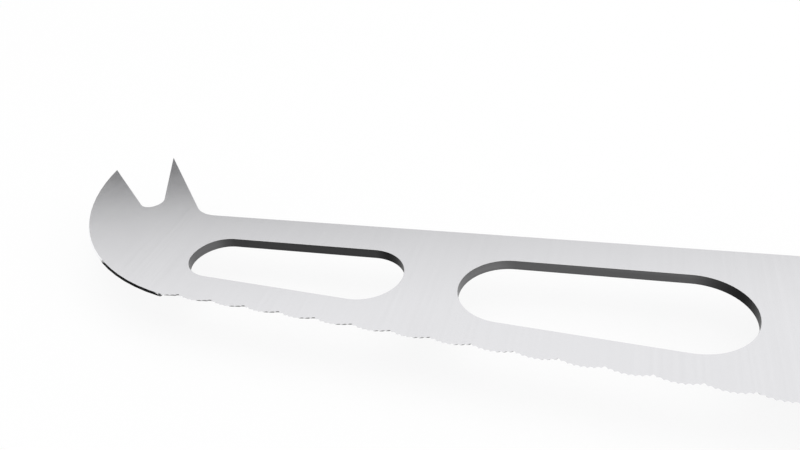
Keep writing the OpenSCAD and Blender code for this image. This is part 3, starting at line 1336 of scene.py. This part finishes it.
@dataclass
class Studio:
    """The floor, the light and the camera."""

    world_strength: tuple[float, float] = (0.8, 1.0)
    floor_radius: float = 6
    floor_drop: float = 0.05 * MM
    floor_tones: tuple[float, float] = (0.86, 0.9)
    fibres_per_metre: float = 900
    fibre_depth: float = 0.1
    fibre_height: float = 0.05 * MM
    # The floor glows by these shares at these distances, so that it ends in plain white
    glow_distances: tuple[float, float] = (0.4, 1.2)
    glow_shares: tuple[float, float] = (0.84, 1.0)
    # Screens that only mirrors show: turns in degrees, and shades by height over distance
    screen_distance: float = 1.2
    back_turn: float = 100
    side_turns: tuple[float, ...] = (10, 190, 280)
    back_shades: Curve = (
        (0, 0.42), (0.4, 0.4), (0.46, 0.22), (0.49, 0.04), (0.53, 0.07), (0.57, 0.56), (0.6, 0.71),
        (0.65, 0.81), (0.71, 0.88), (0.77, 0.96), (0.83, 1.0), (0.9, 1.0),
    )
    side_shades: Curve = ((0, 0.4), (0.3, 0.46), (0.6, 0.74), (0.9, 1.0))
    # The black card that the belly's lip mirrors: turns, and heights over distance
    card_distance: float = 1.1
    card_outline: Curve = (
        (172, 0), (172, 0.1), (180, 0.14), (190, 0.26), (204, 0.48), (232, 0.5), (232, 0)
    )
    card_shade: float = 0.01
    ceiling_height: float = 1.6
    ceiling_radius: float = 1.05
    ceiling_shade: float = 0.72
    softboxes: tuple[Softbox, ...] = (
        Softbox("overhead", (0.1, 0.2, 1.5), 1.6, 8),
        Softbox("right_side", (1.3, -0.3, 0.7), 0.7, 5),
    )
    camera_place: Point = (-82.528 * MM, -93.535 * MM, 81.441 * MM)
    camera_aim: Point = (-118.783 * MM, 11.962 * MM, 9.35 * MM)
    camera_roll: float = -6.653
    camera_lens: float = 34.469
    camera_sensor: float = 36
    camera_near: float = 1 * MM

    def build(self) -> None:
        """Builds the whole studio."""
        self.build_world()
        self.build_floor()
        self.build_screens()
        for softbox in self.softboxes:
            softbox.hang()
        self.build_camera()
        bpy.context.scene.view_settings.view_transform = "Standard"

    def build_world(self) -> None:
        """White all round, a little dimmer for the light that it throws."""
        world = bpy.data.worlds.new("white_tent")
        world.use_nodes = True
        canvas = Canvas(world.node_tree)
        strength = canvas.spread(self.seen(canvas), *self.world_strength)
        light = canvas.add("ShaderNodeBackground", {"Color": WHITE, "Strength": strength})
        canvas.add("ShaderNodeOutputWorld", {"Surface": light.outputs[0]})
        bpy.context.scene.world = world

    @staticmethod
    def seen(canvas: Canvas) -> Socket:
        """Adds the mask of rays from the camera, a mirror or clear glass.

        Args:
            canvas: The canvas that gets the nodes.

        Returns:
            The mask.
        """
        path = canvas.add("ShaderNodeLightPath").outputs
        mirrored = canvas.math("MAXIMUM", path["Is Glossy Ray"], path["Is Transmission Ray"])
        return canvas.math("MAXIMUM", path["Is Camera Ray"], mirrored)

    def build_floor(self) -> None:
        """A round white floor that keeps the knife's shadow."""
        material, canvas, where = surface("paper_floor")
        fibre = canvas.noise(Vector=where, Scale=self.fibres_per_metre, Detail=4)
        tone = canvas.spread(fibre, *self.floor_tones)
        relief = canvas.bump(fibre, self.fibre_depth, self.fibre_height)
        paper = canvas.add("ShaderNodeBsdfDiffuse", {"Color": tone, "Normal": relief})
        glow = canvas.add("ShaderNodeEmission", {"Color": WHITE, "Strength": 1.0})
        away = canvas.add("ShaderNodeVectorMath", {0: where}, operation="LENGTH").outputs["Value"]
        share = canvas.ease(away, *self.glow_distances, *self.glow_shares)
        share = canvas.math("MULTIPLY", self.seen(canvas), share)
        mixed = canvas.add(
            "ShaderNodeMixShader", {0: share, 1: paper.outputs[0], 2: glow.outputs[0]}
        )
        canvas.add("ShaderNodeOutputMaterial", {"Surface": mixed.outputs[0]})
        solid = disc(self.floor_radius, -self.floor_drop, 96)
        floor = piece_from(solid, "floor", [material])

    def build_screens(self) -> None:
        """Shaded screens and a ceiling round the table, and one black card."""
        far = self.screen_distance
        for name, turns, shades in (
            ("back_screen", (self.back_turn,), self.back_shades),
            ("side_screens", self.side_turns, self.side_shades),
        ):
            self.stand(name, self.screens(turns, far * shades[-1][0]), shades, far)
        corners = []
        for turn, rise in self.card_outline:
            angle = math.radians(turn)
            corners.append(self.card_distance * Vector((math.cos(angle), math.sin(angle), rise)))
        card = flat_sheets([corners])
        self.stand("black_card", card, self.even(self.card_shade), self.card_distance)
        ceiling = disc(self.ceiling_radius, self.ceiling_height, 64)
        self.stand("ceiling", ceiling, self.even(self.ceiling_shade), self.ceiling_height)

    @staticmethod
    def even(shade: float) -> Curve:
        """The same shade at every height."""
        return ((0, shade), (1, shade))

    def screens(self, turns: Iterable[float], top: float) -> bmesh.types.BMesh:
        """Makes straight screens that stand round the knife.

        Args:
            turns: The directions in which the screens stand, in degrees.
            top: Their height.

        Returns:
            The screens.
        """
        far = self.screen_distance
        rim = [Vector((far, side * far, z)) for side, z in ((-1, 0), (1, 0), (1, top), (-1, top))]
        places = [Matrix.Rotation(math.radians(turn), 3, "Z") for turn in turns]
        return flat_sheets([place @ corner for corner in rim] for place in places)

    def stand(self, name: str, solid: bmesh.types.BMesh, shades: Curve, distance: float) -> None:
        """Puts up a screen that only a glossy surface shows.

        Args:
            name: The name of the screen and its cloth.
            solid: The screen.
            shades: Heights as shares of the distance, each with the shade there.
            distance: How far the cloth stands from the knife.
        """
        screen = piece_from(solid, name, [self.cloth(name, shades, distance)])
        screen.visible_camera = False
        screen.visible_shadow = False
        screen.visible_diffuse = False

    @staticmethod
    def cloth(name: str, shades: Curve, distance: float) -> bpy.types.Material:
        """A lit cloth that is shaded by height.

        Args:
            name: The material's name.
            shades: Heights as shares of the distance, each with the shade there.
            distance: How far the cloth stands from the knife.

        Returns:
            The material.
        """
        made, canvas, where = surface(name)
        height = canvas.add("ShaderNodeSeparateXYZ", {0: where}).outputs["Z"]
        top = distance * shades[-1][0]
        ramp = canvas.add("ShaderNodeValToRGB", {0: canvas.math("DIVIDE", height, top)})
        stops = ramp.color_ramp.elements
        for rise, _ in shades[1:-1]:
            stops.new(rise * distance / top)
        for stop, (_, shade) in zip(stops, shades):
            stop.color = (shade, shade, shade, 1)
        lit = canvas.add("ShaderNodeEmission", {"Color": ramp.outputs[0], "Strength": 1.0})
        canvas.add("ShaderNodeOutputMaterial", {"Surface": lit.outputs[0]})
        return made

    def build_camera(self) -> None:
        """The photograph's viewpoint."""
        data = bpy.data.cameras.new("camera")
        data.lens = self.camera_lens
        data.sensor_width = self.camera_sensor
        data.clip_start = self.camera_near
        data.clip_end = 4 * self.floor_radius
        made = bpy.data.objects.new("camera", data)
        view = Vector(self.camera_aim) - Vector(self.camera_place)
        turn = view.to_track_quat("-Z", "Y").to_matrix().to_4x4()
        roll = Matrix.Rotation(math.radians(self.camera_roll), 4, "Z")
        made.matrix_world = Matrix.Translation(self.camera_place) @ turn @ roll
        bpy.context.scene.collection.objects.link(made)
        bpy.context.scene.camera = made


def main() -> None:
    """Builds the knife, then the studio round it."""
    logging.basicConfig(level=logging.INFO, format="%(name)s: %(message)s")
    effects = Effects()
    Blade(effects).build()
    Handle(effects).build()
    Studio().build()


if __name__ == "__main__":
    main()
